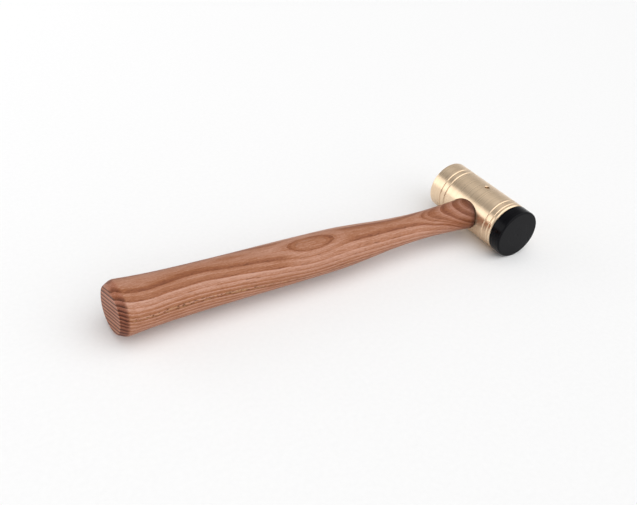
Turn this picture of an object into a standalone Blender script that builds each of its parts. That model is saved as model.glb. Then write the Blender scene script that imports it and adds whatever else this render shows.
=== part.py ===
"""Carving mallet lying on its side: a brass bar head with one polymer face, on an oval wooden handle.

Frame, in metres: Z is up. The handle runs along X with its butt at -X. The head's own axis runs
along Y, with the polymer face at -Y and the brass face at +Y. The origin is on the surface that
the mallet lies on, under the middle of its length and width.
"""
import math

import bmesh
import bpy

MM = 0.001

# Driving dimensions
HEAD_RADIUS = 16 * MM
BRASS_LENGTH = 58.5 * MM
FACE_THICKNESS = 8.5 * MM
HANDLE_REACH = 252.5 * MM         # from the head's axis to the butt
FIT_GAP = 0.3 * MM                # between pieces that touch

# Head
BRASS_EDGE = 0.9 * MM
FACE_EDGE = 0.8 * MM
GROOVE_DEPTH = 0.4 * MM
GROOVE_WIDTH = 0.9 * MM
GROOVE_SPACING = 4.0 * MM
NEAR_GROOVE_INSET = 2.7 * MM      # first groove, from the brass end behind the polymer face
FAR_GROOVE_INSET = 10.0 * MM      # first groove, from the brass striking face

# Tenon, in a blind round mortise
TENON_RADIUS = 8.5 * MM
TENON_TIP = 9.0 * MM              # past the head's axis
TENON_TIP_CHAMFER = 1.0 * MM

# Cross pin, through the head and the tenon
PIN_RADIUS = 1.3 * MM
PIN_RECESS = 0.7 * MM
PIN_EDGE = 0.3 * MM

# Grub screw that holds the polymer face
STUD_RADIUS = 4.0 * MM
STUD_LENGTH = 15.0 * MM
STUD_IN_FACE = 5.4 * MM
STUD_EDGE = 0.6 * MM
STUD_HEX_ACROSS_FLATS = 4.0 * MM
STUD_HEX_DEPTH = 3.0 * MM

# Handle: distance from the head's axis, width along Y, thickness along Z, and squareness, which is
# the exponent of a superellipse: 2 is an ellipse, and more is squarer
HANDLE_STATIONS = [
    (18 * MM, 22.1 * MM, 17.8 * MM, 2.00),
    (28 * MM, 20.7 * MM, 16.8 * MM, 2.00),
    (40 * MM, 19.4 * MM, 15.8 * MM, 2.00),
    (52 * MM, 18.9 * MM, 15.4 * MM, 2.00),
    (66 * MM, 19.4 * MM, 16.1 * MM, 2.00),
    (82 * MM, 21.2 * MM, 17.6 * MM, 2.05),
    (98 * MM, 23.9 * MM, 20.2 * MM, 2.10),
    (116 * MM, 26.4 * MM, 22.4 * MM, 2.10),
    (148 * MM, 27.1 * MM, 23.3 * MM, 2.15),
    (190 * MM, 27.1 * MM, 23.7 * MM, 2.20),
    (220 * MM, 28.0 * MM, 24.7 * MM, 2.20),
    (236 * MM, 29.4 * MM, 26.1 * MM, 2.20),
    (248 * MM, 31.3 * MM, 28.0 * MM, 2.20),
]
SHOULDER_WIDTH = 22.9 * MM
SHOULDER_THICKNESS = 18.6 * MM
SHOULDER_ROUND = 0.8 * MM
BUTT_CHAMFER_LENGTH = 4.4 * MM
BUTT_CHAMFER_INSET = 2.3 * MM

# Fineness
TURNED_STEPS = 64
BORE_STEPS = 32
HANDLE_SIDES = 40
HANDLE_RINGS_PER_STATION = 3
SHOULDER_RINGS = 4
CUT_OVERRUN = 2 * MM              # how far a cutter reaches past the material

# Places worked out from the sizes above
HEAD_X = (HANDLE_REACH - HEAD_RADIUS) / 2
HEAD_Z = HEAD_RADIUS
HEAD_HALF_LENGTH = (BRASS_LENGTH + FIT_GAP + FACE_THICKNESS) / 2
BRASS_NEAR_END = HEAD_HALF_LENGTH - BRASS_LENGTH
FACE_BACK = BRASS_NEAR_END - FIT_GAP
STUD_START = FACE_BACK - STUD_IN_FACE
MORTISE_RADIUS = TENON_RADIUS + FIT_GAP
MORTISE_END = TENON_TIP + FIT_GAP
PIN_BORE_RADIUS = PIN_RADIUS + FIT_GAP

# Rotations that turn a shape made along +Z to lie along another axis
ALONG_Y = (-math.pi / 2, 0, 0)
ALONG_X = (0, math.pi / 2, 0)
ALONG_Z = (0, 0, 0)


def clear_scene():
    for old in list(bpy.data.objects):
        bpy.data.objects.remove(old, do_unlink=True)


def new_collection(name):
    collection = bpy.data.collections.new(name)
    bpy.context.scene.collection.children.link(collection)
    return collection


def principled(name, colour, roughness, metallic):
    """A material of one colour, given as linear red, green and blue."""
    material = bpy.data.materials.new(name)
    material.use_nodes = True
    shader = material.node_tree.nodes["Principled BSDF"]
    shader.inputs["Base Color"].default_value = (*colour, 1)
    shader.inputs["Roughness"].default_value = roughness
    shader.inputs["Metallic"].default_value = metallic
    return material


def add_object(name, mesh, collection, place, rotation, material=None):
    """An object whose place is given from the crossing of the head's and the handle's axes."""
    obj = bpy.data.objects.new(name, mesh)
    obj.location = (HEAD_X + place[0], place[1], HEAD_Z + place[2])
    obj.rotation_euler = rotation
    if material:
        mesh.materials.append(material)
    collection.objects.link(obj)
    return obj


def hide_cutter(obj):
    obj.hide_render = True
    obj.display_type = "WIRE"
    return obj


def cut(obj, cutter):
    boolean = obj.modifiers.new("cut_" + cutter.name, "BOOLEAN")
    boolean.operation = "DIFFERENCE"
    boolean.object = cutter


def turned(name, profile, collection, place, rotation, material=None, steps=TURNED_STEPS):
    """A solid of revolution about its own Z, from (radius, height) points listed from top to bottom."""
    mesh = bpy.data.meshes.new(name)
    points = [(radius, 0, height) for radius, height in profile]
    edges = [(index, index + 1) for index in range(len(points) - 1)]
    mesh.from_pydata(points, edges, [])
    obj = add_object(name, mesh, collection, place, rotation, material)
    screw = obj.modifiers.new("turn", "SCREW")
    screw.axis = "Z"
    screw.steps = steps
    screw.render_steps = steps
    screw.use_merge_vertices = True
    screw.merge_threshold = 0.01 * MM
    screw.use_smooth_shade = False
    return obj


def cylinder_cutter(name, radius, start, end, collection, place, rotation, sides=BORE_STEPS):
    """A cylinder along its own Z between two heights. Six sides make a hexagon cutter."""
    mesh = bpy.data.meshes.new(name)
    form = bmesh.new()
    bmesh.ops.create_cone(form, cap_ends=True, segments=sides, radius1=radius, radius2=radius,
                          depth=end - start)
    bmesh.ops.translate(form, vec=(0, 0, (start + end) / 2), verts=form.verts)
    form.to_mesh(mesh)
    form.free()
    return hide_cutter(add_object(name, mesh, collection, place, rotation))


def rounded_corner(radius, height, size, rising, count=3):
    """Profile points of a quarter round between an end face and a cylinder's side."""
    points = []
    for index in range(count + 1):
        angle = math.pi / 2 * index / count
        inward = size * (1 - math.sin(angle))
        down = size * (1 - math.cos(angle))
        points.append((radius - inward, height - down))
    if rising:
        points = [(r, 2 * height - h) for r, h in reversed(points)]
    return points


def groove(height):
    """Profile points of a V groove centred on a height."""
    return [
        (HEAD_RADIUS, height + GROOVE_WIDTH / 2),
        (HEAD_RADIUS - GROOVE_DEPTH, height),
        (HEAD_RADIUS, height - GROOVE_WIDTH / 2),
    ]


def groove_heights():
    """The four grooves along the head's axis, from the brass face towards the polymer face."""
    far = HEAD_HALF_LENGTH - FAR_GROOVE_INSET
    near = BRASS_NEAR_END + NEAR_GROOVE_INSET
    return [far, far - GROOVE_SPACING, near + GROOVE_SPACING, near]


def pin_bore_cutter(collection):
    """The bore for the cross pin, with a small chamfer where it breaks the head's surface."""
    top = HEAD_RADIUS + CUT_OVERRUN
    flare = HEAD_RADIUS - PIN_EDGE
    wide = PIN_BORE_RADIUS + PIN_EDGE + CUT_OVERRUN
    profile = [(0, top), (wide, top), (PIN_BORE_RADIUS, flare), (PIN_BORE_RADIUS, -flare),
               (wide, -top), (0, -top)]
    return hide_cutter(turned("cutter_pin_bore", profile, collection, (0, 0, 0), ALONG_Z,
                              steps=BORE_STEPS))


def stud_socket_cutter(collection):
    """The threaded hole's core: it runs from inside the polymer face into the brass."""
    end = STUD_START + STUD_LENGTH + FIT_GAP
    return cylinder_cutter("cutter_stud_socket", STUD_RADIUS + FIT_GAP, STUD_START - FIT_GAP, end,
                           collection, (0, 0, 0), ALONG_Y)


def make_head_body(parts, cutters, brass):
    """The brass bar: turned, grooved, and bored for the tenon, the face's stud and the cross pin."""
    profile = [(0, HEAD_HALF_LENGTH)]
    profile += rounded_corner(HEAD_RADIUS, HEAD_HALF_LENGTH, BRASS_EDGE, rising=False)
    for height in groove_heights():
        profile += groove(height)
    profile += rounded_corner(HEAD_RADIUS, BRASS_NEAR_END, BRASS_EDGE, rising=True)
    profile += [(0, BRASS_NEAR_END)]
    head = turned("head_body", profile, parts, (0, 0, 0), ALONG_Y, brass)
    mortise = cylinder_cutter("cutter_mortise", MORTISE_RADIUS, -HEAD_RADIUS - CUT_OVERRUN,
                              MORTISE_END, cutters, (0, 0, 0), ALONG_X)
    cut(head, mortise)
    cut(head, stud_socket_cutter(cutters))
    cut(head, pin_bore_cutter(cutters))
    return head


def make_striking_face(parts, cutters, polymer):
    """The replaceable black face: a turned disc with a socket for the stud in its back."""
    front = -HEAD_HALF_LENGTH
    profile = [(0, FACE_BACK), (HEAD_RADIUS, FACE_BACK)]
    profile += rounded_corner(HEAD_RADIUS, front, FACE_EDGE, rising=True)
    profile += [(0, front)]
    face = turned("polymer_face", profile, parts, (0, 0, 0), ALONG_Y, polymer)
    cut(face, cutters.objects["cutter_stud_socket"])
    return face


def make_face_stud(parts, cutters, steel):
    """The grub screw between the face and the brass, at its thread's outer size."""
    end = STUD_START + STUD_LENGTH
    inner = STUD_RADIUS - STUD_EDGE
    profile = [(0, end), (inner, end), (STUD_RADIUS, end - STUD_EDGE),
               (STUD_RADIUS, STUD_START + STUD_EDGE), (inner, STUD_START), (0, STUD_START)]
    stud = turned("face_stud", profile, parts, (0, 0, 0), ALONG_Y, steel, steps=BORE_STEPS)
    hex_radius = STUD_HEX_ACROSS_FLATS / math.sqrt(3)
    cut(stud, cylinder_cutter("cutter_stud_hex", hex_radius, STUD_START - CUT_OVERRUN,
                              STUD_START + STUD_HEX_DEPTH, cutters, (0, 0, 0), ALONG_Y, sides=6))
    return stud


def make_head_pin(parts, brass):
    """The cross pin, set below the head's surface at both ends."""
    end = HEAD_RADIUS - PIN_RECESS
    inner = PIN_RADIUS - PIN_EDGE
    profile = [(0, end), (inner, end), (PIN_RADIUS, end - PIN_EDGE), (PIN_RADIUS, -end + PIN_EDGE),
               (inner, -end), (0, -end)]
    return turned("head_pin", profile, parts, (0, 0, 0), ALONG_Z, brass, steps=BORE_STEPS)


def station_at(distance):
    """Width, thickness and squareness at a distance, on a smooth curve through the stations."""
    stations = HANDLE_STATIONS
    index = 0
    while index < len(stations) - 2 and distance > stations[index + 1][0]:
        index += 1
    low, high = stations[index], stations[index + 1]
    before = stations[max(index - 1, 0)]
    after = stations[min(index + 2, len(stations) - 1)]
    span = high[0] - low[0]
    part = (distance - low[0]) / span
    result = []
    for column in (1, 2, 3):
        slope_low = (high[column] - before[column]) / (high[0] - before[0]) * span
        slope_high = (after[column] - low[column]) / (after[0] - low[0]) * span
        value = (low[column] * (2 * part**3 - 3 * part**2 + 1)
                 + slope_low * (part**3 - 2 * part**2 + part)
                 + high[column] * (3 * part**2 - 2 * part**3)
                 + slope_high * (part**3 - part**2))
        result.append(value)
    return result


def oval(width, thickness, squareness):
    """Points (y, z) around a superellipse."""
    points = []
    for side in range(HANDLE_SIDES):
        angle = 2 * math.pi * side / HANDLE_SIDES
        cosine, sine = math.cos(angle), math.sin(angle)
        y = width / 2 * math.copysign(abs(cosine) ** (2 / squareness), cosine)
        z = thickness / 2 * math.copysign(abs(sine) ** (2 / squareness), sine)
        points.append((y, z))
    return points


def flat_ring(distance, outline):
    return [(-distance, y, z) for y, z in outline]


def coped_ring(radius, outline):
    """An outline laid on a cylinder about the head's axis, on the handle's side."""
    return [(-math.sqrt(radius**2 - z**2), y, z) for y, z in outline]


def handle_distances():
    distances = []
    for low, high in zip(HANDLE_STATIONS, HANDLE_STATIONS[1:]):
        for step in range(HANDLE_RINGS_PER_STATION):
            distances.append(low[0] + (high[0] - low[0]) * step / HANDLE_RINGS_PER_STATION)
    distances.append(HANDLE_STATIONS[-1][0])
    return distances


def butt_rings():
    """The chamfered butt, from its end face forwards."""
    width, thickness, squareness = station_at(HANDLE_STATIONS[-1][0])
    inset = 2 * BUTT_CHAMFER_INSET
    end = oval(width - inset, thickness - inset, squareness)
    edge = oval(width, thickness, squareness)
    return [flat_ring(HANDLE_REACH, end),
            flat_ring(HANDLE_REACH - BUTT_CHAMFER_LENGTH, edge)]


def shoulder_rings():
    """The rounded end of the flare, where it sits on the head."""
    rings = []
    for index in range(SHOULDER_RINGS):
        angle = math.pi / 2 * index / (SHOULDER_RINGS - 1)
        inset = 2 * SHOULDER_ROUND * (1 - math.cos(angle))
        lift = SHOULDER_ROUND * (1 - math.sin(angle))
        outline = oval(SHOULDER_WIDTH - inset, SHOULDER_THICKNESS - inset, 2)
        rings.append(coped_ring(HEAD_RADIUS + FIT_GAP + lift, outline))
    return rings


def tenon_rings():
    """The round tenon, from the shoulder to its chamfered tip."""
    full = oval(2 * TENON_RADIUS, 2 * TENON_RADIUS, 2)
    tip_size = 2 * (TENON_RADIUS - TENON_TIP_CHAMFER)
    tip = oval(tip_size, tip_size, 2)
    return [coped_ring(HEAD_RADIUS + FIT_GAP, full),
            flat_ring(-(TENON_TIP - TENON_TIP_CHAMFER), full),
            flat_ring(-TENON_TIP, tip)]


def loft(name, rings):
    """A closed mesh through rings of equal point counts, with flat ends."""
    form = bmesh.new()
    rows = [[form.verts.new(point) for point in ring] for ring in rings]
    for row, following in zip(rows, rows[1:]):
        for side in range(len(row)):
            after = (side + 1) % len(row)
            form.faces.new((row[side], row[after], following[after], following[side]))
    form.faces.new(rows[0])
    form.faces.new(list(reversed(rows[-1])))
    bmesh.ops.recalc_face_normals(form, faces=form.faces)
    mesh = bpy.data.meshes.new(name)
    form.to_mesh(mesh)
    form.free()
    return mesh


def make_handle(parts, cutters, wood):
    """The wooden handle: butt, swelling grip, thin neck, flared shoulder and pinned round tenon."""
    rings = butt_rings()
    for distance in reversed(handle_distances()):
        if distance < HANDLE_REACH - BUTT_CHAMFER_LENGTH:
            rings.append(flat_ring(distance, oval(*station_at(distance))))
    rings += shoulder_rings()
    rings += tenon_rings()
    handle = add_object("handle", loft("handle", rings), parts, (0, 0, 0), ALONG_Z, wood)
    cut(handle, cylinder_cutter("cutter_tenon_pin", PIN_BORE_RADIUS, -HEAD_RADIUS, HEAD_RADIUS,
                                cutters, (0, 0, 0), ALONG_Z))
    return handle


def shade_parts(parts):
    for obj in parts.objects:
        obj.data.shade_smooth()
        obj.data.set_sharp_from_angle(angle=math.radians(30))


def main():
    clear_scene()
    parts = new_collection("carving_mallet")
    cutters = new_collection("cutters")
    brass = principled("turned_brass", (0.68, 0.51, 0.30), 0.30, 1.0)
    pin_brass = principled("pin_brass", (0.60, 0.44, 0.24), 0.35, 1.0)
    polymer = principled("black_polymer", (0.020, 0.020, 0.022), 0.45, 0.0)
    steel = principled("stud_steel", (0.50, 0.50, 0.52), 0.35, 1.0)
    wood = principled("red_brown_wood", (0.44, 0.19, 0.11), 0.45, 0.0)
    make_head_body(parts, cutters, brass)
    make_striking_face(parts, cutters, polymer)
    make_face_stud(parts, cutters, steel)
    make_head_pin(parts, pin_brass)
    make_handle(parts, cutters, wood)
    shade_parts(parts)


main()
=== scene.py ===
"""Looks of the carving mallet: turned brass head, black polymer face and oiled red-brown wooden handle."""
import math

import bmesh
import bpy
from mathutils import Matrix, Vector


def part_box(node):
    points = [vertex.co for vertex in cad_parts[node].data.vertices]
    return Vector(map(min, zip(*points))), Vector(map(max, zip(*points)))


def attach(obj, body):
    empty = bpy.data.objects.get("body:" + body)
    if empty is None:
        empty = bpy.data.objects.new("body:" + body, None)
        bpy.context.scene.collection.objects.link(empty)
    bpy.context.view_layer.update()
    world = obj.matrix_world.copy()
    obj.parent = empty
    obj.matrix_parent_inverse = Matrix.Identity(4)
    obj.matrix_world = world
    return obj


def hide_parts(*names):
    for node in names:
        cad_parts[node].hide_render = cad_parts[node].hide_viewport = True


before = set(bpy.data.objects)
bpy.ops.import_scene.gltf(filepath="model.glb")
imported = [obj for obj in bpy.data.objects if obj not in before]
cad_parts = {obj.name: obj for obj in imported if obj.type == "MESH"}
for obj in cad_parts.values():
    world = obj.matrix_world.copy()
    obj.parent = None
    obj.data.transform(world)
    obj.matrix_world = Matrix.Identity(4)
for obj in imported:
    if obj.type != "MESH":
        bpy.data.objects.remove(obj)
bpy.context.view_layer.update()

MM = 0.001

# Head, from the frame's boxes
BRASS_LOW, BRASS_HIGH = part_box("head_body")
FACE_LOW, FACE_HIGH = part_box("polymer_face")
PIN_LOW, PIN_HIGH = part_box("head_pin")
STUD_LOW, STUD_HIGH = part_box("face_stud")
HANDLE_LOW, HANDLE_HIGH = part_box("handle")
HEAD_RADIUS = (FACE_HIGH.x - FACE_LOW.x) / 2
HEAD_X = (FACE_HIGH.x + FACE_LOW.x) / 2
HEAD_Z = (FACE_HIGH.z + FACE_LOW.z) / 2
PIN_RADIUS = (PIN_HIGH.y - PIN_LOW.y) / 2
STUD_RADIUS = (STUD_HIGH.z - STUD_LOW.z) / 2
HANDLE_REACH = HEAD_X - HANDLE_LOW.x
TENON_TIP = HANDLE_HIGH.x - HEAD_X

# Head details
FIT_GAP = 0.3 * MM
BRASS_EDGE = 0.9 * MM
FACE_EDGE = 0.8 * MM
GROOVE_DEPTH = 0.4 * MM
GROOVE_WIDTH = 0.9 * MM
GROOVE_SPACING = 4.0 * MM
NEAR_GROOVE_INSET = 2.7 * MM
FAR_GROOVE_INSET = 10.0 * MM
GROOVE_LIP_ROUND = 0.12 * MM
GROOVE_FLOOR_ROUND = 0.35 * MM
BRASS_SEAM_ROUNDS = (0.15 * MM, 0.25 * MM)
FACE_SEAM_CHAMFER = 0.25 * MM
FACE_FINE_ROUND = 0.1 * MM
FACE_EDGE_ROUND = FACE_EDGE * 1.3
CENTRE_MARK = 0.7 * MM
TENON_RADIUS = 8.5 * MM
TENON_TIP_CHAMFER = 1.0 * MM
PIN_EDGE = 0.3 * MM
STUD_PITCH = 1.25 * MM
STUD_THREAD_DEPTH = 0.7 * MM
STUD_HEX_ACROSS_FLATS = 4.0 * MM
STUD_HEX_DEPTH = 3.0 * MM

# Handle: distance from the head's axis, width, thickness and squareness, as in the CAD
HANDLE_STATIONS = [
    (18 * MM, 22.1 * MM, 17.8 * MM, 2.00),
    (28 * MM, 20.7 * MM, 16.8 * MM, 2.00),
    (40 * MM, 19.4 * MM, 15.8 * MM, 2.00),
    (52 * MM, 18.9 * MM, 15.4 * MM, 2.00),
    (66 * MM, 19.4 * MM, 16.1 * MM, 2.00),
    (82 * MM, 21.2 * MM, 17.6 * MM, 2.05),
    (98 * MM, 23.9 * MM, 20.2 * MM, 2.10),
    (116 * MM, 26.4 * MM, 22.4 * MM, 2.10),
    (148 * MM, 27.1 * MM, 23.3 * MM, 2.15),
    (190 * MM, 27.1 * MM, 23.7 * MM, 2.20),
    (220 * MM, 28.0 * MM, 24.7 * MM, 2.20),
    (236 * MM, 29.4 * MM, 26.1 * MM, 2.20),
    (248 * MM, 31.3 * MM, 28.0 * MM, 2.20),
]
SHOULDER_WIDTH = 22.9 * MM
SHOULDER_THICKNESS = 18.6 * MM
SHOULDER_ROUND = 0.8 * MM
BUTT_CHAMFER_LENGTH = 4.4 * MM
BUTT_CHAMFER_INSET = 2.3 * MM
BUTT_END_ROUND = 0.8 * MM
BUTT_SIDE_ROUND = 2.2 * MM
BUTT_INNER_INSET = 9 * MM
BUTT_LEAD = 4 * MM

# Fineness
TURNED_STEPS = 160
BORE_STEPS = 64
HANDLE_SIDES = 112
STUD_SIDES = 48
STUD_ROWS_PER_TURN = 8
SHOULDER_STEPS = 8
RING_SPACING = 2.0 * MM
CUT_OVERRUN = 2 * MM
SHARP_DEGREES = 35
HANDLE_SHARP_DEGREES = 50

ALONG_Y = (-math.pi / 2, 0, 0)
ALONG_X = (0, math.pi / 2, 0)
ALONG_Z = (0, 0, 0)

# Growth rings: height of each ring's start in mm above the ring of the eye on the crest, and its tone
# at its start and at its end, from 0, dark, to 1, light
GROWTH_RINGS = [
    (-29.5, 0.40, 0.75), (-27.2, 0.35, 0.75), (-24.9, 0.40, 0.75), (-22.7, 0.35, 0.75), (-20.4, 0.40, 0.80),
    (-17.9, 0.35, 0.80), (-16.0, 0.40, 0.75), (-13.9, 0.25, 0.75), (-11.7, 0.30, 0.80), (-9.5, 0.38, 0.90),
    (-7.1, 0.55, 0.92), (-4.5, 0.28, 0.58), (-1.65, 0.12, 0.78), (0.05, 0.02, 0.35), (0.45, 0.55, 0.60),
    (0.80, 0.22, 0.80), (2.9, 0.15, 0.82), (6.8, 0.18, 0.82), (10.0, 0.20, 0.80), (13.0, 0.30, 0.80),
    (16.0, 0.30, 0.80),
]
EYE_RING = 0.05
CREST_RING = -1.65
SIDE_RING = -4.5
# Rise of the growth rings along the handle: distance from the head's axis and height, both in mm
RING_RISE = [
    (-10, -9.0), (21, -0.6), (28, 1.9), (38, 5.15), (50, 7.1), (56, 8.0), (68, 8.87), (81, 9.6),
    (100, 11.0), (110, 11.6), (116, 11.7), (121, 11.5), (129, 11.1), (137, 11.0), (145, 11.25),
    (153, 11.85), (158, 12.0), (165, 12.0), (180, 11.95), (190, 12.1), (205, 12.75), (223, 12.96),
    (236, 13.3), (243, 13.95), (248, 14.3), (252.5, 12.8), (256, 11.6),
]
# Slope of the growth rings across the handle, rising towards +Y: distance from the head's axis in mm
# and slope
RING_SLOPE = [
    (-10, 0.15), (120, 0.15), (140, 0.15), (153, 0.12), (175, -0.03), (190, -0.12), (205, -0.15),
    (223, -0.12), (242, -0.06), (248, -0.12), (252.5, -0.36), (256, -0.46),
]
# Beside the eye the wood is paler from the first distance to the head, and on the crest only to the second
PALE_START = 155
CREST_PALE_END = 113
PALE_TONE = 0.84
PALE_SHARE = 0.55
# The row of large pores: its height in mm among the growth rings, how far it spreads, and its colours
PORE_ROW = -12.6
PORE_ROW_REACH = 1.1
PORE_COLOUR = (0.090, 0.024, 0.006, 1)
PORE_FLECK_COLOUR = (0.47, 0.28, 0.12, 1)
# Wood from its darkest tone, 0, to its lightest, 1
WOOD_COLOURS = [
    (0.0, (0.180, 0.052, 0.020)), (0.2, (0.250, 0.080, 0.031)), (0.4, (0.312, 0.116, 0.048)),
    (0.6, (0.375, 0.161, 0.087)), (0.8, (0.440, 0.219, 0.142)), (1.0, (0.525, 0.290, 0.212)),
]
# Rise of the tone within one ring, from its start to its end
RING_TONE_RISE = [(0.0, 0.0), (0.15, 0.08), (0.35, 0.25), (0.6, 0.70), (0.8, 1.0), (0.93, 0.95), (1.0, 0.7)]
# Stains multiply the wood's colour: each ring's line on end grain, the chamfer and its low side. Painted
# shade multiplies the wood from the head out to JOINT_REACH: the head's shadow, darkest as a painted contact
# shadow at the joint
RING_LINE = [(0.0, (0.20, 0.14, 0.11)), (0.25, (0.40, 0.31, 0.27)), (0.6, (1.0, 0.86, 0.80))]
CHAMFER_STAIN = (0.88, 0.78, 0.76, 1)
LOW_CHAMFER_STAIN = (0.60, 0.51, 0.45, 1)
JOINT_REACH = 56
# Painted shade, not a stain: the head's shadow on the wood, darkest as a contact shadow at the joint
JOINT_PAINTED_SHADE = [
    (0.0, (0.08, 0.05, 0.04)), (0.04, (0.36, 0.28, 0.24)), (0.10, (0.62, 0.52, 0.47)),
    (0.35, (0.84, 0.76, 0.72)), (1.0, (1, 1, 1)),
]

# Studio: the floor's half width, then the dome, as elevation above the plane across each axis in degrees
# and brightness there
FLOOR_REACH = 3.0
CAP_AXIS = Vector((0.15, -0.45, 0.88))
CAP = [(0, 0.0), (30, 0.0), (48, 1.2), (90, 1.35)]
HORIZON = [(0, 0.70), (18, 0.62), (38, 0.32), (90, 0.32)]
CAMERA_AIM = Vector((-9.1, 0.6, 16.0)) * MM
CAMERA_DISTANCE = 470.2 * MM
CAMERA_AZIMUTH = math.radians(37.25)
CAMERA_ELEVATION = math.radians(34.33)
CAMERA_ROLL = math.radians(7.89)
CAMERA_LENS = 46.07


# ---------------------------------------------------------------- geometry

def place_object(name, mesh, place=(0, 0, 0), rotation=ALONG_Z):
    """An object whose place is given from the crossing of the head's and the handle's axes."""
    obj = bpy.data.objects.new(name, mesh)
    obj.location = (HEAD_X + place[0], place[1], HEAD_Z + place[2])
    obj.rotation_euler = rotation
    bpy.context.scene.collection.objects.link(obj)
    return obj


def softened(corners, steps=6, support=0.12 * MM):
    """A line through (u, v, size) corners, each rounded to its size, with a support point by each curve."""
    points = []
    for index, (u, v, size) in enumerate(corners):
        here = Vector((u, v))
        if size <= 0 or index in (0, len(corners) - 1):
            points.append(here)
            continue
        before = Vector(corners[index - 1][:2]) - here
        after = Vector(corners[index + 1][:2]) - here
        reach_before = min(size, before.length * 0.45)
        reach_after = min(size, after.length * 0.45)
        start = here + before.normalized() * reach_before
        end = here + after.normalized() * reach_after
        if before.length - reach_before > 2.5 * support:
            points.append(start + before.normalized() * support)
        for step in range(steps + 1):
            part = step / steps
            points.append(start * (1 - part) ** 2 + here * 2 * part * (1 - part) + end * part ** 2)
        if after.length - reach_after > 2.5 * support:
            points.append(end + after.normalized() * support)
    return points


def turned_mesh(name, profile, steps=TURNED_STEPS):
    """A closed solid of revolution about Z, from (radius, height) points that start and end on the axis."""
    form = bmesh.new()
    first = form.verts.new((0, 0, profile[0][1]))
    last = form.verts.new((0, 0, profile[-1][1]))
    rows = []
    for radius, height in profile[1:-1]:
        row = []
        for step in range(steps):
            angle = 2 * math.pi * step / steps
            row.append(form.verts.new((radius * math.cos(angle), radius * math.sin(angle), height)))
        rows.append(row)
    for step in range(steps):
        after = (step + 1) % steps
        form.faces.new((first, rows[0][step], rows[0][after]))
        form.faces.new((last, rows[-1][after], rows[-1][step]))
        for row, following in zip(rows, rows[1:]):
            form.faces.new((row[step], following[step], following[after], row[after]))
    bmesh.ops.recalc_face_normals(form, faces=form.faces)
    mesh = bpy.data.meshes.new(name)
    form.to_mesh(mesh)
    form.free()
    return mesh


def cylinder_cutter(name, radius, start, end, rotation, sides=BORE_STEPS, flare=0, flare_at=0):
    """A cylinder along its own Z. With a flare, it widens from flare_at outwards at both ends."""
    profile = [(0, start), (radius, start), (radius, end), (0, end)]
    if flare:
        wide = radius + flare
        profile = [(0, start), (wide, start), (radius, -flare_at), (radius, flare_at), (wide, end), (0, end)]
    return place_object(name, turned_mesh(name, profile, sides), rotation=rotation)


def cut(obj, cutters):
    """Cuts each cutter out of obj, keeps the result as obj's mesh, and removes the cutters."""
    for cutter in cutters:
        boolean = obj.modifiers.new(cutter.name, "BOOLEAN")
        boolean.operation = "DIFFERENCE"
        boolean.solver = "EXACT"
        boolean.object = cutter
    bpy.context.view_layer.update()
    evaluated = obj.evaluated_get(bpy.context.evaluated_depsgraph_get())
    mesh = bpy.data.meshes.new_from_object(evaluated)
    obj.modifiers.clear()
    obj.data = mesh
    for cutter in cutters:
        bpy.data.objects.remove(cutter, do_unlink=True)


def shade(obj, sharp_degrees=SHARP_DEGREES):
    obj.data.shade_smooth()
    obj.data.set_sharp_from_angle(angle=math.radians(sharp_degrees))


def groove_corners(y):
    """A round-bottomed groove with softened lips, as profile corners in order of rising y."""
    half = GROOVE_WIDTH / 2
    return [(HEAD_RADIUS, y - half, GROOVE_LIP_ROUND), (HEAD_RADIUS - GROOVE_DEPTH, y, GROOVE_FLOOR_ROUND),
            (HEAD_RADIUS, y + half, GROOVE_LIP_ROUND)]


def stud_socket():
    return cylinder_cutter("socket", STUD_RADIUS + FIT_GAP, STUD_LOW.y - FIT_GAP, STUD_HIGH.y + FIT_GAP,
                           ALONG_Y)


def make_head():
    low, high = BRASS_LOW.y, BRASS_HIGH.y
    near = low + NEAR_GROOVE_INSET
    far = high - FAR_GROOVE_INSET
    corners = [(0, low, 0), (HEAD_RADIUS - BRASS_EDGE, low, BRASS_SEAM_ROUNDS[0]),
               (HEAD_RADIUS, low + BRASS_EDGE, BRASS_SEAM_ROUNDS[1])]
    for y in (near, near + GROOVE_SPACING, far - GROOVE_SPACING, far):
        corners += groove_corners(y)
    corners += [(HEAD_RADIUS, high, BRASS_EDGE), (0, high, 0)]
    head = place_object("brass_head", turned_mesh("brass_head", softened(corners)), rotation=ALONG_Y)
    mortise = cylinder_cutter("mortise", TENON_RADIUS + FIT_GAP, -HEAD_RADIUS - CUT_OVERRUN,
                              TENON_TIP + FIT_GAP, ALONG_X)
    socket = stud_socket()
    bore = cylinder_cutter("pin_bore", PIN_RADIUS + FIT_GAP, -HEAD_RADIUS - CUT_OVERRUN,
                           HEAD_RADIUS + CUT_OVERRUN, ALONG_Z, flare=PIN_EDGE + CUT_OVERRUN,
                           flare_at=HEAD_RADIUS - PIN_EDGE)
    cut(head, [mortise, socket, bore])
    shade(head)
    return head


def make_face():
    low, high = FACE_LOW.y, FACE_HIGH.y
    corners = [(0, high, 0), (HEAD_RADIUS - FACE_SEAM_CHAMFER, high, FACE_FINE_ROUND),
               (HEAD_RADIUS, high - FACE_SEAM_CHAMFER, FACE_FINE_ROUND), (HEAD_RADIUS, low, FACE_EDGE_ROUND),
               (CENTRE_MARK, low, FACE_FINE_ROUND), (0, low + CENTRE_MARK / 2, 0)]
    face = place_object("black_face", turned_mesh("black_face", softened(corners)), rotation=ALONG_Y)
    cut(face, [stud_socket()])
    shade(face)
    return face


def make_pin():
    half = (PIN_HIGH.z - PIN_LOW.z) / 2
    corners = [(0, half, 0), (PIN_RADIUS, half, PIN_EDGE), (PIN_RADIUS, -half, PIN_EDGE), (0, -half, 0)]
    profile = softened(corners, support=0.05 * MM)
    pin = place_object("cross_pin", turned_mesh("cross_pin", profile, BORE_STEPS))
    shade(pin)
    return pin


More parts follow.
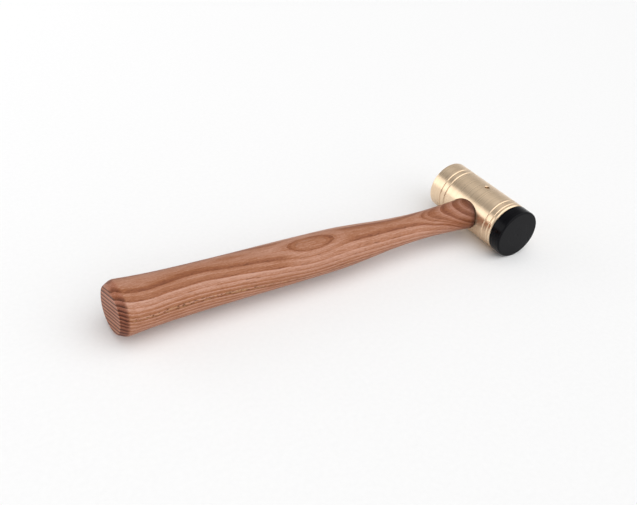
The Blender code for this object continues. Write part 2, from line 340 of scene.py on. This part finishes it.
def make_stud():
    """The set screw behind the face: one thread wound round a core, with a hexagon socket."""
    length = STUD_HIGH.y - STUD_LOW.y
    row_step = STUD_PITCH / STUD_ROWS_PER_TURN
    count = int(length / row_step)
    form = bmesh.new()
    rows = []
    for index in range(count + 1):
        height = length * index / count
        row = []
        for side in range(STUD_SIDES):
            angle = 2 * math.pi * side / STUD_SIDES
            phase = (height / STUD_PITCH + side / STUD_SIDES) % 1
            tooth = 1 - abs(2 * phase - 1)
            lead = min(height, length - height) / STUD_PITCH
            radius = STUD_RADIUS - STUD_THREAD_DEPTH * (1 - tooth * min(1, lead))
            point = (radius * math.cos(angle), radius * math.sin(angle), STUD_LOW.y + height)
            row.append(form.verts.new(point))
        rows.append(row)
    for row, following in zip(rows, rows[1:]):
        for side in range(STUD_SIDES):
            after = (side + 1) % STUD_SIDES
            form.faces.new((row[side], row[after], following[after], following[side]))
    form.faces.new(list(reversed(rows[0])))
    form.faces.new(rows[-1])
    bmesh.ops.recalc_face_normals(form, faces=form.faces)
    mesh = bpy.data.meshes.new("set_screw")
    form.to_mesh(mesh)
    form.free()
    stud = place_object("set_screw", mesh, rotation=ALONG_Y)
    cut(stud, [cylinder_cutter("hexagon", STUD_HEX_ACROSS_FLATS / math.sqrt(3), STUD_LOW.y - CUT_OVERRUN,
                               STUD_LOW.y + STUD_HEX_DEPTH, ALONG_Y, sides=6)])
    shade(stud)
    return stud


def station_at(distance):
    """Width, thickness and squareness at a distance, on a smooth curve through the stations."""
    stations = HANDLE_STATIONS
    index = 0
    while index < len(stations) - 2 and distance > stations[index + 1][0]:
        index += 1
    low, high = stations[index], stations[index + 1]
    before = stations[max(index - 1, 0)]
    after = stations[min(index + 2, len(stations) - 1)]
    span = high[0] - low[0]
    part = (distance - low[0]) / span
    result = []
    for column in (1, 2, 3):
        slope_low = (high[column] - before[column]) / (high[0] - before[0]) * span
        slope_high = (after[column] - low[column]) / (after[0] - low[0]) * span
        result.append(low[column] * (2 * part**3 - 3 * part**2 + 1)
                      + slope_low * (part**3 - 2 * part**2 + part)
                      + high[column] * (3 * part**2 - 2 * part**3)
                      + slope_high * (part**3 - part**2))
    return result


def oval(width, thickness, squareness):
    points = []
    for side in range(HANDLE_SIDES):
        angle = 2 * math.pi * side / HANDLE_SIDES
        cosine, sine = math.cos(angle), math.sin(angle)
        points.append((width / 2 * math.copysign(abs(cosine) ** (2 / squareness), cosine),
                       thickness / 2 * math.copysign(abs(sine) ** (2 / squareness), sine)))
    return points


def flat_ring(distance, outline):
    return [(-distance, y, z) for y, z in outline]


def coped_ring(radius, outline):
    """An outline laid on a cylinder about the head's axis, on the handle's side."""
    return [(-math.sqrt(radius**2 - z**2), y, z) for y, z in outline]


def butt_rings():
    """The chamfered butt with softened edges, from near the middle of its end face forwards."""
    last = HANDLE_STATIONS[-1][0]
    corners = [(0, BUTT_INNER_INSET, 0), (0, BUTT_CHAMFER_INSET, BUTT_END_ROUND),
               (BUTT_CHAMFER_LENGTH, 0, BUTT_SIDE_ROUND), (BUTT_CHAMFER_LENGTH + BUTT_LEAD, 0, 0)]
    rings = []
    for back, inset in softened(corners, steps=8):
        distance = HANDLE_REACH - back
        width, thickness, squareness = station_at(min(distance, last))
        rings.append(flat_ring(distance, oval(width - 2 * inset, thickness - 2 * inset, squareness)))
    return rings


def shoulder_rings():
    """The rounded end of the flare, where it sits on the head."""
    rings = []
    for index in range(SHOULDER_STEPS + 1):
        angle = math.pi / 2 * index / SHOULDER_STEPS
        inset = 2 * SHOULDER_ROUND * (1 - math.cos(angle))
        lift = SHOULDER_ROUND * (1 - math.sin(angle))
        outline = oval(SHOULDER_WIDTH - inset, SHOULDER_THICKNESS - inset, 2)
        rings.append(coped_ring(HEAD_RADIUS + FIT_GAP + lift, outline))
    return rings


def tenon_rings():
    full = oval(2 * TENON_RADIUS, 2 * TENON_RADIUS, 2)
    tip = oval(2 * (TENON_RADIUS - TENON_TIP_CHAMFER), 2 * (TENON_RADIUS - TENON_TIP_CHAMFER), 2)
    return [coped_ring(HEAD_RADIUS + FIT_GAP, full), flat_ring(TENON_TIP_CHAMFER - TENON_TIP, full),
            flat_ring(-TENON_TIP, tip)]


def make_handle():
    rings = butt_rings()
    start = HANDLE_STATIONS[0][0]
    end = HANDLE_REACH - BUTT_CHAMFER_LENGTH - BUTT_LEAD
    count = int((end - start) / RING_SPACING)
    for index in range(1, count + 1):
        distance = end + (start - end) * index / count
        rings.append(flat_ring(distance, oval(*station_at(distance))))
    rings += shoulder_rings()
    rings += tenon_rings()
    form = bmesh.new()
    rows = [[form.verts.new(point) for point in ring] for ring in rings]
    for row, following in zip(rows, rows[1:]):
        for side in range(len(row)):
            after = (side + 1) % len(row)
            form.faces.new((row[side], row[after], following[after], following[side]))
    form.faces.new(rows[0])
    form.faces.new(list(reversed(rows[-1])))
    bmesh.ops.recalc_face_normals(form, faces=form.faces)
    mesh = bpy.data.meshes.new("wooden_handle")
    form.to_mesh(mesh)
    form.free()
    handle = place_object("wooden_handle", mesh)
    cut(handle, [cylinder_cutter("tenon_pin", PIN_RADIUS + FIT_GAP, -HEAD_RADIUS, HEAD_RADIUS, ALONG_Z)])
    shade(handle, HANDLE_SHARP_DEGREES)
    return handle


# ---------------------------------------------------------------- materials

class Nodes:
    """A short way to write a material's nodes. Inputs are sockets or plain values."""

    def __init__(self, name):
        self.material = bpy.data.materials.new(name)
        self.material.use_nodes = True
        self.tree = self.material.node_tree
        self.shader = self.tree.nodes["Principled BSDF"]

    def add(self, kind, inputs=None, **settings):
        node = self.tree.nodes.new(kind)
        for key, value in settings.items():
            setattr(node, key, value)
        for key, value in (inputs or {}).items():
            self.plug(value, node.inputs[key])
        return node

    def plug(self, value, socket):
        if isinstance(value, bpy.types.NodeSocket):
            self.tree.links.new(value, socket)
        else:
            socket.default_value = value

    def math(self, operation, first, second=0.0, third=0.0, clamp=False):
        node = self.add("ShaderNodeMath", {0: first, 1: second, 2: third}, operation=operation,
                        use_clamp=clamp)
        return node.outputs[0]

    def vector(self, operation, first, second=(0, 0, 0)):
        node = self.add("ShaderNodeVectorMath", {0: first, 1: second}, operation=operation)
        return node.outputs["Value" if operation in ("LENGTH", "DOT_PRODUCT") else "Vector"]

    def position(self):
        """The point in mm from the crossing of the head's and the handle's axes."""
        coordinates = self.add("ShaderNodeTexCoord").outputs["Object"]
        return self.vector("MULTIPLY", coordinates, (1000, 1000, 1000))

    def split(self, vector):
        node = self.add("ShaderNodeSeparateXYZ", {0: vector})
        return node.outputs[0], node.outputs[1], node.outputs[2]

    def noise(self, vector, scale=(1, 1, 1), detail=2.0, roughness=0.5):
        """Noise from about 0 to 1, with features 1/scale mm in size along each axis."""
        scaled = self.vector("MULTIPLY", vector, scale)
        node = self.add("ShaderNodeTexNoise", {"Vector": scaled, "Scale": 1.0, "Detail": detail,
                                               "Roughness": roughness})
        return node.outputs["Fac"]

    def line_noise(self, value, scale, detail=2.0, roughness=0.5):
        scaled = self.math("MULTIPLY", value, scale)
        inputs = {"W": scaled, "Scale": 1.0, "Detail": detail, "Roughness": roughness}
        node = self.add("ShaderNodeTexNoise", inputs, noise_dimensions="1D")
        return node.outputs["Fac"]

    def span(self, value, low, high, to_low=0.0, to_high=1.0, smooth=False):
        node = self.add("ShaderNodeMapRange", {0: value, 1: low, 2: high, 3: to_low, 4: to_high},
                        interpolation_type="SMOOTHSTEP" if smooth else "LINEAR")
        return node.outputs[0]

    def ramp(self, value, stops, interpolation="LINEAR"):
        """A colour ramp through (position, colour) stops."""
        node = self.add("ShaderNodeValToRGB", {0: value})
        ramp = node.color_ramp
        ramp.interpolation = interpolation
        for index, (position, colour) in enumerate(stops):
            element = ramp.elements[index] if index < 2 else ramp.elements.new(position)
            element.position = position
            element.color = (*colour, 1)
        return node.outputs[0]

    def curve(self, value, points):
        """A curve through (x, y) points, all from 0 to 1."""
        node = self.add("ShaderNodeFloatCurve", {"Value": value})
        curve = node.mapping.curves[0]
        for index, (x, y) in enumerate(points):
            point = curve.points[index] if index < 2 else curve.points.new(x, y)
            point.location = (x, y)
        return node

    def mix(self, amount, first, second, blend="MIX"):
        node = self.add("ShaderNodeMix", data_type="RGBA", blend_type=blend)
        self.plug(amount, node.inputs[0])
        self.plug(first, node.inputs[6])
        self.plug(second, node.inputs[7])
        return node.outputs[2]

    def bump(self, height, distance, strength=1.0, normal=None):
        inputs = {"Height": height, "Distance": distance, "Strength": strength}
        if normal:
            inputs["Normal"] = normal
        return self.add("ShaderNodeBump", inputs).outputs["Normal"]

    def set(self, **inputs):
        for key, value in inputs.items():
            self.plug(value, self.shader.inputs[key.replace("_", " ")])


def float_curve(nodes, value, points, value_range):
    """A curve through (x, y) points in real units. Values are brought to 0..1 for the curve and back."""
    low, high = value_range
    bottom = min(y for x, y in points)
    top = max(y for x, y in points)
    share = nodes.span(value, low, high)
    node = nodes.curve(share, [((x - low) / (high - low), (y - bottom) / (top - bottom)) for x, y in points])
    return nodes.math("MULTIPLY_ADD", node.outputs[0], top - bottom, bottom), node


def straight_handles(node):
    for point in node.mapping.curves[0].points:
        point.handle_type = "VECTOR"
    node.mapping.update()


def turned_brass(name):
    """Brass straight from the lathe: fine tool lines round the axis on the side, and rings on the ends."""
    nodes = Nodes(name)
    place = nodes.position()
    # the head's own axis is the object's Z
    z = nodes.split(place)[2]
    radius = nodes.vector("LENGTH", nodes.vector("MULTIPLY", place, (1, 1, 0)))
    across = nodes.math("ADD", z, radius)
    broad = nodes.noise(place, (0.12, 0.12, 0.3), 3)
    wander = nodes.math("MULTIPLY_ADD", nodes.noise(place, (0.1, 0.1, 0.1), 1), 0.5, across)
    fine = nodes.line_noise(wander, 7.0, 3, 0.7)
    coarse = nodes.line_noise(wander, 1.3, 2, 0.6)
    tone = nodes.math("MULTIPLY_ADD", coarse, 0.5, nodes.math("MULTIPLY", broad, 0.5))
    colour = nodes.ramp(tone, [(0.3, (0.815, 0.615, 0.415)), (0.7, (0.945, 0.740, 0.530))])
    rough = nodes.math("MULTIPLY_ADD", fine, 0.10, nodes.math("MULTIPLY_ADD", coarse, 0.12, 0.19))
    normal = nodes.bump(coarse, 0.03 * MM, 0.6)
    normal = nodes.bump(fine, 0.008 * MM, 0.6, normal)
    tangent = nodes.add("ShaderNodeTangent", direction_type="RADIAL", axis="Z").outputs[0]
    nodes.set(Base_Color=colour, Metallic=1.0, Roughness=rough, Normal=normal, Tangent=tangent,
              Anisotropic=0.75, Anisotropic_Rotation=0.25)
    return nodes.material


def pin_brass(name):
    nodes = Nodes(name)
    place = nodes.position()
    mottled = nodes.noise(place, (1.2, 1.2, 1.2), 3)
    scratches = nodes.noise(place, (9, 1.5, 9), 2)
    colour = nodes.ramp(mottled, [(0.3, (0.34, 0.20, 0.10)), (0.7, (0.56, 0.38, 0.20))])
    nodes.set(Base_Color=colour, Metallic=1.0, Roughness=nodes.span(scratches, 0.2, 0.8, 0.25, 0.45),
              Normal=nodes.bump(scratches, 0.02 * MM, 0.5))
    return nodes.material


def black_polymer(name):
    """Hard black polymer, faced on the lathe: faint rings on its front and faint lines round its side."""
    nodes = Nodes(name)
    place = nodes.position()
    z = nodes.split(place)[2]
    radius = nodes.vector("LENGTH", nodes.vector("MULTIPLY", place, (1, 1, 0)))
    across = nodes.math("ADD", z, radius)
    fine = nodes.line_noise(across, 5.0, 2, 0.6)
    coarse = nodes.line_noise(across, 1.1, 2, 0.6)
    speckle = nodes.noise(place, (3, 3, 3), 3, 0.6)
    colour = nodes.ramp(nodes.math("MULTIPLY_ADD", coarse, 0.6, nodes.math("MULTIPLY", speckle, 0.4)),
                        [(0.3, (0.0008, 0.0008, 0.0012)), (0.7, (0.0070, 0.0070, 0.0088))])
    rough = nodes.math("MULTIPLY_ADD", fine, 0.16, nodes.math("MULTIPLY_ADD", speckle, 0.08, 0.02))
    rough = nodes.math("MULTIPLY_ADD", coarse, 0.16, rough)
    normal = nodes.bump(coarse, 0.03 * MM, 0.6)
    normal = nodes.bump(fine, 0.012 * MM, 0.6, normal)
    normal = nodes.bump(speckle, 0.01 * MM, 0.3, normal)
    tangent = nodes.add("ShaderNodeTangent", direction_type="RADIAL", axis="Z").outputs[0]
    nodes.set(Base_Color=colour, Roughness=rough, Normal=normal, Tangent=tangent, Anisotropic=0.6,
              Anisotropic_Rotation=0.25)
    nodes.shader.inputs["Specular IOR Level"].default_value = 0.09
    return nodes.material


def screw_steel(name):
    nodes = Nodes(name)
    place = nodes.position()
    mottled = nodes.noise(place, (0.8, 0.8, 0.8), 3)
    grit = nodes.noise(place, (6, 6, 6), 2)
    colour = nodes.ramp(mottled, [(0.3, (0.16, 0.16, 0.17)), (0.7, (0.26, 0.26, 0.27))])
    nodes.set(Base_Color=colour, Metallic=1.0, Roughness=nodes.span(grit, 0.2, 0.8, 0.32, 0.5),
              Normal=nodes.bump(grit, 0.02 * MM, 0.4))
    return nodes.material


def oiled_wood(name):
    """Red-brown flat-sawn wood: growth rings cut by the shaped handle, open pores and fine fibres."""
    nodes = Nodes(name)
    place = nodes.position()
    x, y, z = nodes.split(place)
    distance = nodes.math("MULTIPLY", x, -1)

    # height of the point above the reference ring
    along = (RING_RISE[0][0], RING_RISE[-1][0])
    rise = float_curve(nodes, distance, RING_RISE, along)[0]
    slope = float_curve(nodes, distance, RING_SLOPE, along)[0]
    height = nodes.math("SUBTRACT", z, nodes.math("MULTIPLY_ADD", slope, y, rise))
    sway = nodes.noise(place, (0.022, 0.10, 0.10), 2)
    height = nodes.math("MULTIPLY_ADD", nodes.math("SUBTRACT", sway, 0.5), 0.30, height)
    ragged = nodes.noise(place, (0.25, 1.2, 1.2), 2)
    height = nodes.math("MULTIPLY_ADD", nodes.math("SUBTRACT", ragged, 0.5), 0.20, height)

    # ring number, with the tone rising from the ring's start to its end
    count = len(GROWTH_RINGS)
    starts = [(ring[0], index) for index, ring in enumerate(GROWTH_RINGS)]
    number, number_node = float_curve(nodes, height, starts, (GROWTH_RINGS[0][0], GROWTH_RINGS[-1][0]))
    straight_handles(number_node)
    within = nodes.math("FRACT", number)
    whole = nodes.math("DIVIDE", nodes.math("ADD", nodes.math("FLOOR", number), 0.5), count)
    start_tones = [(index / count, (ring[1],) * 3) for index, ring in enumerate(GROWTH_RINGS)]
    start = nodes.ramp(whole, start_tones, "CONSTANT")
    end_tones = [(index / count, (ring[2],) * 3) for index, ring in enumerate(GROWTH_RINGS)]
    end = nodes.ramp(whole, end_tones, "CONSTANT")
    rising = nodes.ramp(within, [(part, (rise_share,) * 3) for part, rise_share in RING_TONE_RISE])
    tone = nodes.math("MULTIPLY_ADD", nodes.math("SUBTRACT", end, start), rising, start)

    # paler wood beside the eye and towards the head, but not on the crest near the head
    between = nodes.math("MULTIPLY", nodes.span(height, SIDE_RING - 0.1, SIDE_RING + 0.1),
                         nodes.span(height, EYE_RING, EYE_RING - 0.1))
    towards_head = nodes.span(distance, PALE_START + 6, PALE_START - 6, smooth=True)
    crest = nodes.math("MULTIPLY", nodes.span(height, CREST_RING - 0.1, CREST_RING + 0.1),
                       nodes.span(distance, CREST_PALE_END + 5, CREST_PALE_END - 5, smooth=True))
    beside_eye = nodes.math("MULTIPLY", between, towards_head)
    pale = nodes.math("MULTIPLY", beside_eye, nodes.math("SUBTRACT", 1, crest))
    towards_pale = nodes.math("MULTIPLY", pale, nodes.math("SUBTRACT", PALE_TONE, tone))
    tone = nodes.math("MULTIPLY_ADD", towards_pale, PALE_SHARE, tone)

    # finer bands, fibres and slow changes of tone
    bands = nodes.line_noise(height, 1.5, 3, 0.7)
    lines = nodes.line_noise(height, 5.0, 2, 0.6)
    fibres = nodes.noise(place, (0.07, 2.4, 2.4), 3, 0.65)
    flecks = nodes.noise(place, (0.7, 2.6, 2.6), 2, 0.6)
    patches = nodes.noise(place, (0.035, 0.14, 0.14), 2)
    for part, amount in ((bands, 0.75), (lines, 0.75), (fibres, 1.00), (flecks, 0.65), (patches, 0.30)):
        tone = nodes.math("MULTIPLY_ADD", nodes.math("SUBTRACT", part, 0.5), amount, tone)
    colour = nodes.ramp(tone, WOOD_COLOURS)

    # pores: short dark dashes along the grain, early in each ring, and a row of large ones with yellowish
    # flecks low on the side
    early = nodes.span(within, 0.05, 0.45, 1.0, 0.15)
    fine_pores = nodes.span(nodes.noise(place, (0.22, 2.2, 2.2), 1, 0.5), 0.60, 0.68, smooth=True)
    row = nodes.math("DIVIDE", nodes.math("SUBTRACT", height, PORE_ROW), PORE_ROW_REACH)
    row = nodes.math("EXPONENT", nodes.math("MULTIPLY", nodes.math("MULTIPLY", row, row), -1))
    row = nodes.math("MULTIPLY", row, nodes.span(distance, 150, 200, 0.4, 1.0))
    row = nodes.math("MULTIPLY", row, nodes.span(distance, 249, 246))
    large_pores = nodes.span(nodes.noise(place, (0.45, 1.7, 1.7), 1, 0.5), 0.53, 0.59, smooth=True)
    yellow = nodes.span(nodes.noise(place, (0.30, 1.3, 1.3), 1, 0.5), 0.50, 0.62, smooth=True)
    yellow_share = nodes.math("MULTIPLY", nodes.math("MULTIPLY", yellow, row), 0.55)
    colour = nodes.mix(yellow_share, colour, PORE_FLECK_COLOUR)
    pores = nodes.math("MULTIPLY", nodes.math("MULTIPLY", fine_pores, early), 0.60)
    pores = nodes.math("MULTIPLY_ADD", nodes.math("MULTIPLY", large_pores, row), 0.95, pores, clamp=True)
    colour = nodes.mix(pores, colour, PORE_COLOUR)

    # end grain shows each ring's start as a dark line, faintly on top of the chamfer, and the chamfer's low
    # side takes more oil; the wood beside the head gets painted shade, the head's shadow and a painted
    # contact shadow at the joint
    facing = nodes.add("ShaderNodeTexCoord").outputs["Normal"]
    end_x = nodes.split(facing)[0]
    end_grain = nodes.span(nodes.math("MULTIPLY", end_x, -1), 0.12, 0.55, smooth=True)
    chamfer = nodes.math("MULTIPLY", nodes.span(end_x, -0.15, -0.40), nodes.span(end_x, -0.90, -0.70))
    low_side = nodes.span(y, -4, -11, smooth=True)
    chamfer_top = nodes.math("MULTIPLY", chamfer, nodes.math("SUBTRACT", 1, low_side))
    faint = nodes.math("MULTIPLY", chamfer_top, 0.65)
    end_grain = nodes.math("MULTIPLY", end_grain, nodes.math("SUBTRACT", 1, faint))
    ring_line = nodes.ramp(within, RING_LINE)
    colour = nodes.mix(end_grain, colour, nodes.mix(1.0, colour, ring_line, "MULTIPLY"))
    colour = nodes.mix(chamfer, colour, nodes.mix(1.0, colour, CHAMFER_STAIN, "MULTIPLY"))
    stain = nodes.math("MULTIPLY", chamfer, low_side)
    colour = nodes.mix(stain, colour, nodes.mix(1.0, colour, LOW_CHAMFER_STAIN, "MULTIPLY"))
    # painted shade: the wood darkens from JOINT_REACH towards the head, darkest at the joint, standing in for
    # the head's shadow
    from_axis = nodes.vector("LENGTH", nodes.vector("MULTIPLY", place, (1, 0, 1)))
    joint_shade = nodes.ramp(nodes.span(from_axis, 16, JOINT_REACH), JOINT_PAINTED_SHADE)
    colour = nodes.mix(1.0, colour, joint_shade, "MULTIPLY")

    rough = nodes.math("MULTIPLY_ADD", fibres, 0.12, 0.38)
    rough = nodes.math("MULTIPLY_ADD", pores, 0.2, rough)
    rough = nodes.math("MULTIPLY_ADD", end_grain, 0.10, rough)
    normal = nodes.bump(fibres, 0.05 * MM, 0.5)
    normal = nodes.bump(nodes.math("MULTIPLY", pores, -1), 0.08 * MM, 0.6, normal)
    nodes.set(Base_Color=colour, Roughness=rough, Normal=normal)
    nodes.shader.inputs["Specular IOR Level"].default_value = 0.30
    return nodes.material


def floor_material():
    nodes = Nodes("studio_floor")
    coordinates = nodes.add("ShaderNodeTexCoord").outputs["Object"]
    speckle = nodes.noise(coordinates, (400, 400, 400), 2)
    colour = nodes.ramp(speckle, [(0.0, (0.86, 0.86, 0.86)), (1.0, (0.90, 0.90, 0.90))])
    nodes.set(Base_Color=colour, Roughness=0.9)
    nodes.shader.inputs["Specular IOR Level"].default_value = 0.0
    return nodes.material


# ---------------------------------------------------------------- studio

def soft_light(name, direction, elevation, distance, size, radiance):
    """A soft box that faces the frame's origin. Direction is in degrees from +X towards +Y."""
    light = bpy.data.lights.new(name, "AREA")
    light.shape = "RECTANGLE"
    light.size, light.size_y = size
    light.energy = radiance * math.pi * size[0] * size[1]
    obj = bpy.data.objects.new(name, light)
    level = math.cos(math.radians(elevation)) * distance
    turn = math.radians(direction)
    height = math.sin(math.radians(elevation)) * distance
    place = Vector((level * math.cos(turn), level * math.sin(turn), height))
    obj.location = place
    obj.rotation_euler = (-place).to_track_quat("-Z", "Y").to_euler()
    obj.visible_camera = False
    bpy.context.scene.collection.objects.link(obj)
    return obj


def studio_world():
    """A soft dome: a wide bright cap overhead and in front, a dim band behind it, and a pale horizon."""
    world = bpy.data.worlds.new("studio")
    world.use_nodes = True
    tree = world.node_tree
    direction = tree.nodes.new("ShaderNodeTexCoord").outputs["Generated"]
    background = tree.nodes["Background"]
    levels = []
    for axis, stops in ((CAP_AXIS, CAP), (Vector((0, 0, 1)), HORIZON)):
        dot = tree.nodes.new("ShaderNodeVectorMath")
        dot.operation = "DOT_PRODUCT"
        tree.links.new(direction, dot.inputs[0])
        dot.inputs[1].default_value = axis.normalized()
        ramp = tree.nodes.new("ShaderNodeValToRGB")
        ramp.color_ramp.interpolation = "EASE"
        tree.links.new(dot.outputs["Value"], ramp.inputs[0])
        for index, (elevation, level) in enumerate(stops):
            position = math.sin(math.radians(elevation))
            element = ramp.color_ramp.elements[index] if index < 2 else ramp.color_ramp.elements.new(position)
            element.position = position
            element.color = (level, level, level, 1)
        levels.append(ramp.outputs[0])
    total = tree.nodes.new("ShaderNodeVectorMath")
    tree.links.new(levels[0], total.inputs[0])
    tree.links.new(levels[1], total.inputs[1])
    tree.links.new(total.outputs["Vector"], background.inputs["Color"])
    background.inputs["Strength"].default_value = 1.0
    return world


def make_studio():
    scene = bpy.context.scene
    mesh = bpy.data.meshes.new("floor")
    corners = [(x * FLOOR_REACH, y * FLOOR_REACH, 0) for x, y in ((-1, -1), (1, -1), (1, 1), (-1, 1))]
    mesh.from_pydata(corners, [], [(0, 1, 2, 3)])
    floor = bpy.data.objects.new("floor", mesh)
    mesh.materials.append(floor_material())
    scene.collection.objects.link(floor)
    scene.world = studio_world()
    soft_light("panel_left", 137, 16.5, 1.5, (1.3, 0.93), 1.05)
    scene.view_settings.view_transform = "Standard"
    scene.view_settings.look = "None"


def make_camera():
    camera = bpy.data.cameras.new("camera")
    camera.sensor_width = 36
    camera.lens = CAMERA_LENS
    camera.clip_start = 0.01
    obj = bpy.data.objects.new("camera", camera)
    level = math.cos(CAMERA_ELEVATION) * CAMERA_DISTANCE
    offset = Vector((-math.sin(CAMERA_AZIMUTH) * level, -math.cos(CAMERA_AZIMUTH) * level,
                     math.sin(CAMERA_ELEVATION) * CAMERA_DISTANCE))
    turn = (-offset).to_track_quat("-Z", "Y").to_matrix() @ Matrix.Rotation(CAMERA_ROLL, 3, "Z")
    obj.matrix_world = Matrix.Translation(CAMERA_AIM + offset) @ turn.to_4x4()
    bpy.context.scene.collection.objects.link(obj)
    bpy.context.scene.camera = obj


# ---------------------------------------------------------------- main

def finish_piece(obj, material, node):
    obj.data.materials.clear()
    obj.data.materials.append(material)
    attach(obj, "root")
    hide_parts(node)


make_camera()
make_studio()
finish_piece(make_head(), turned_brass("turned_brass"), "head_body")
finish_piece(make_face(), black_polymer("black_polymer"), "polymer_face")
finish_piece(make_pin(), pin_brass("pin_brass"), "head_pin")
finish_piece(make_stud(), screw_steel("screw_steel"), "face_stud")
finish_piece(make_handle(), oiled_wood("oiled_wood"), "handle")
